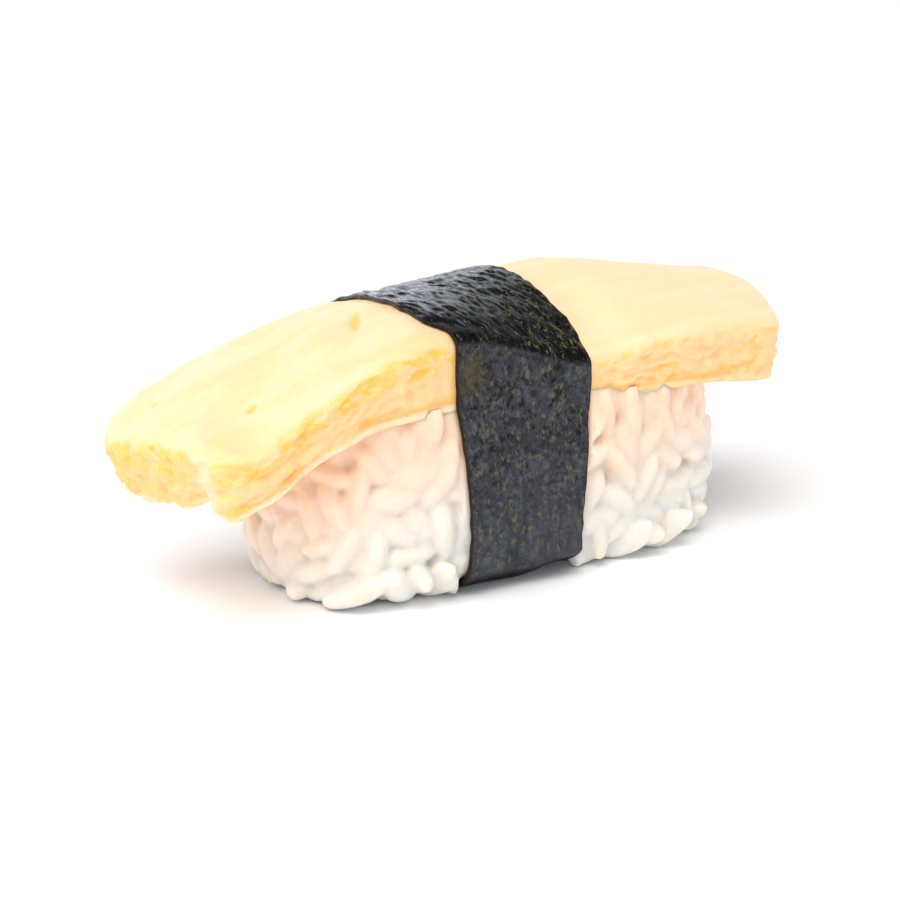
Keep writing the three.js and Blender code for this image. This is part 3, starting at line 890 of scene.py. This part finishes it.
def band_shape():
    """The band's points and faces: its outside and its inside, joined along its edges."""
    section = band_section()
    count = len(section)
    v, w, corner = section.T
    first = corner.astype(int) % 4
    share = smoothstep(corner % 1, 0, 1)[:, None]
    edges = mix(BAND_EDGES[first], BAND_EDGES[(first + 1) % 4], share)
    wider = np.where(corner < 1, 1.4 * corner * smoothstep(1 - corner, 0, 0.14), 0)
    edges = edges + wider[:, None] * np.array([-1, 0.6])
    turn = np.arange(count) / count * 2 * math.pi
    circle = np.stack([np.cos(turn), np.sin(turn)], axis=-1) * 9
    rings = []
    outs = []
    for side in (1, -1):
        for i in range(BAND_STEPS + 1):
            across = i / BAND_STEPS if side > 0 else 1 - i / BAND_STEPS
            x = mix(edges[:, 0], edges[:, 1], across)
            frayed = 0.16 * np.array([noise.noise(Vector((*p, 7 * across))) for p in circle.tolist()])
            x = x + frayed * abs(2 * across - 1) ** 3
            on_top = smoothstep(w, 0.8, 0.97)
            ridged = np.array(
                [
                    noise.noise(Vector((a / 1.1 + 1.6 * noise.noise(Vector((a / 3, b / 3, 8))), b / 2.6, 0)))
                    + 0.6 * noise.noise(Vector((a / 0.55, b / 1.3, 4)))
                    for a, b in zip(x.tolist(), (v * 14.5 - w * 15.9).tolist())
                ]
            )
            broad = np.array([noise.noise(Vector((*p, a / 6))) for p, a in zip(circle.tolist(), x.tolist())])
            relief = mix(0.02, 0.26, on_top) * ridged + 0.1 * broad * (1 - on_top)
            out = (BAND_OUTER if side > 0 else BAND_INNER) + relief
            swell = rice_swell(mix(BAND_BASE, slice_top(x, SLICE_Y), (w + 1) / 2))
            y = SLICE_Y + v * (slice_half_width(x) + swell + out)
            z = np.maximum(mix(BAND_BASE - out, slice_top(x, y) + out, (w + 1) / 2), 0)
            front = smoothstep(-y, 9, 13)
            below_crease = np.clip((4.4 + 0.35 * x - z) / 4, 0, 1)
            y = y - 0.8 * below_crease * smoothstep(x, -5, 1) * front
            z = z + curled_up(x, y, z)
            rings.append(np.stack([x, y, z], axis=-1))
    points = np.concatenate(rings)
    number = np.arange(len(points)).reshape(len(rings), count)
    here = number
    onward = np.roll(number, -1, axis=0)
    corners = [here, np.roll(here, -1, axis=1), np.roll(onward, -1, axis=1), onward]
    faces = np.stack(corners, axis=-1).reshape(-1, 4)
    tops = np.tile(smoothstep(w, 0.93, 0.985), len(rings))
    # The fold and the underside are where the material paints shade.
    fold = tops * np.tile(smoothstep(-v, 0.55, 0.72), len(rings))
    under = np.tile(smoothstep(-w, 0.84, 0.93), len(rings))
    rim = np.abs(np.linspace(-1, 1, BAND_STEPS + 1))
    edge = np.repeat(np.concatenate([rim, rim]), count)
    x, y, z = points.T
    thin_corner = np.exp(-(((x + 8) / 1.6) ** 2) - ((z - 25.6) / 2.2) ** 2) * (y < -12)
    thin_top = np.exp(-(((x - 8) / 1.6) ** 2) - ((y + 9) / 4) ** 2) * (z > 20)
    left_back = smoothstep(y - 0.7 * x, -12, 6)
    marks = {
        "top": tops,
        "fold": fold,
        "under": under,
        "edge": edge,
        "thin": thin_corner + thin_top,
        "gloss": tops * (1 - 0.75 * fold) * mix(0.12, 0.95, left_back),
        "front_top": tops * smoothstep(-y, 2, 11),
        "right_top": tops * smoothstep(x - 0.15 * y, -3, 7),
        # Lower down, where the front is lightened with painted light bounced up from the floor.
        "low": 1 - smoothstep(z, 3, 18),
    }
    return points, faces, marks


NORI_BLACK = colour(8, 9, 10)
NORI_SLATE = colour(72, 74, 82)
NORI_GREY = colour(94, 98, 104)
NORI_OLIVE = colour(106, 106, 80)
NORI_GOLD = colour(134, 128, 72)
NORI_BROWN = colour(94, 80, 46)
NORI_GLINT = colour(140, 145, 142)
NORI_PURPLE = colour(62, 52, 66)
NORI_EDGE = colour(54, 34, 16)

nori_finish, shade = new_material("nori")
on_top = shade.mark("top")
fold = shade.mark("fold")
mottle = shade.speckle((0.7, 0.7, 0.8), detail=6.0, roughness=0.75)
base = mottle.rise(0.36, 0.6).blend(NORI_BLACK, NORI_SLATE)
# Lighter pulp in the mottle, and painted light from the floor making the lower front lighter.
pulp_and_floor_bounce = (mottle.rise(0.55, 0.72) * 0.6 + shade.mark("low") * 0.35).blend(base, NORI_GREY)
patches = shade.speckle((4, 4, 5), detail=4.0, roughness=0.6).rise(0.4, 0.62)
uneven = (patches * 0.4).blend(pulp_and_floor_bounce, NORI_BLACK)
purple = (shade.speckle((1.8, 1.8, 2.4), detail=4.0).rise(0.48, 0.66) * 0.5).blend(uneven, NORI_PURPLE)
olive = (shade.speckle((0.7, 0.7, 0.9), detail=5.0, roughness=0.7).rise(0.52, 0.66) * 0.75).blend(
    purple, NORI_OLIVE
)
flecks = shade.speckle((0.45, 0.7, 0.7), detail=3.0, roughness=0.7, distortion=0.4)
gold = (flecks.rise(0.6, 0.7) * (0.18 + 0.5 * on_top)).blend(olive, NORI_GOLD)
thin = (shade.mark("thin") * (0.3 + 0.6 * flecks.rise(0.42, 0.6))).blend(gold, NORI_BROWN)
# Darker on top, less so on its flecks, and painted shade: the fold and the band's underside are darkened to
# black.
dark_top_and_painted_shade = on_top * (0.9 - 0.5 * flecks.rise(0.55, 0.68)) + fold * 0.6 + shade.mark("under")
with_dark_top_and_painted_shade = dark_top_and_painted_shade.blend(thin, NORI_BLACK)
whiskers = shade.speckle((0.28, 1.3, 1.3), detail=2.0, distortion=0.5).rise(0.64, 0.7)
leafy = shade.speckle((0.8, 1.3, 1.3), detail=4.0, roughness=0.7, distortion=1.2).rise(0.55, 0.62)
flecked = (leafy * (0.25 + 0.65 * shade.mark("right_top")) * on_top).blend(with_dark_top_and_painted_shade, NORI_GOLD)
glinting = (whiskers * shade.mark("front_top")).blend(flecked, NORI_GLINT)
rimmed = shade.mark("edge").rise(0.975, 0.995).blend(glinting, NORI_EDGE)
weave = shade.speckle((0.3, 0.7, 0.7), detail=4.0, roughness=0.7)
ridges = shade.speckle((0.45, 1.7, 1.7), detail=4.0, roughness=0.65, distortion=1.0).rise(0.42, 0.6)
finish_material(
    shade,
    {
        "Base Color": rimmed,
        "Roughness": 0.5 + 0.15 * on_top + 0.12 * (mottle - 0.5),
        "IOR": 1.32,
        "Specular IOR Level": 0.2,
        "Coat Weight": shade.mark("gloss") * (0.7 + 0.5 * ridges),
        "Coat Roughness": 0.08,
        "Normal": shade.bump(weave * (0.35 + 0.3 * on_top) + ridges * on_top, 0.95),
    },
)

band_points, band_faces, band_marks = band_shape()
nori_band = new_piece("nori_strip", band_points, band_faces, band_marks, nori_finish)
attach(nori_band, "root")
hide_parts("nori_band")

# ---- Studio ---------------------------------------------------------------------------------------
# A plain white table under soft light: a large panel overhead, and white walls all round that fade to a
# darker ceiling.

HORIZON_LIGHT = 1.6
ZENITH_LIGHT = 0.12
FLOOR_SIZE = 4.0
FLOOR_DROP = 0.0001

floor_finish, shade = new_material("white_table")
finish_material(shade, {"Base Color": (0.95, 0.95, 0.95, 1.0), "Roughness": 0.9})
floor_mesh = bpy.data.meshes.new("floor")
half = FLOOR_SIZE / 2
floor_corners = [(-half, -half, 0), (half, -half, 0), (half, half, 0), (-half, half, 0)]
floor_mesh.from_pydata([(x, y, -FLOOR_DROP) for x, y, _ in floor_corners], [], [(0, 1, 2, 3)])
floor_mesh.materials.append(floor_finish)
floor = bpy.data.objects.new("floor", floor_mesh)
bpy.context.scene.collection.objects.link(floor)


def soft_panel(name, place, size, power):
    """A square soft light, aimed at the middle of the nigiri."""
    light = bpy.data.lights.new(name, "AREA")
    light.size = size
    light.energy = power
    light.color = (1.0, 0.97, 0.93)
    panel = bpy.data.objects.new(name, light)
    panel.location = place
    panel.rotation_mode = "QUATERNION"
    panel.rotation_quaternion = (Vector((0, 0, 0.015)) - Vector(place)).to_track_quat("-Z", "Y")
    bpy.context.scene.collection.objects.link(panel)


soft_panel("overhead_panel", (-0.66, -0.3, 1.42), 1.6, 34.0)

world = bpy.data.worlds.new("surroundings")
world.use_nodes = True
shade = Shade(world.node_tree)
direction = shade.node("ShaderNodeTexCoord", output=0)
height = shade.node("ShaderNodeSeparateXYZ", inputs={0: direction}, output=2)
background = world.node_tree.nodes["Background"]
background.inputs["Color"].default_value = (0.85, 0.91, 1.0, 1.0)
strength = HORIZON_LIGHT - (HORIZON_LIGHT - ZENITH_LIGHT) * height.rise(0.32, 0.64)
world.node_tree.links.new(strength.socket, background.inputs["Strength"])
bpy.context.scene.world = world
bpy.context.scene.view_settings.view_transform = "Standard"
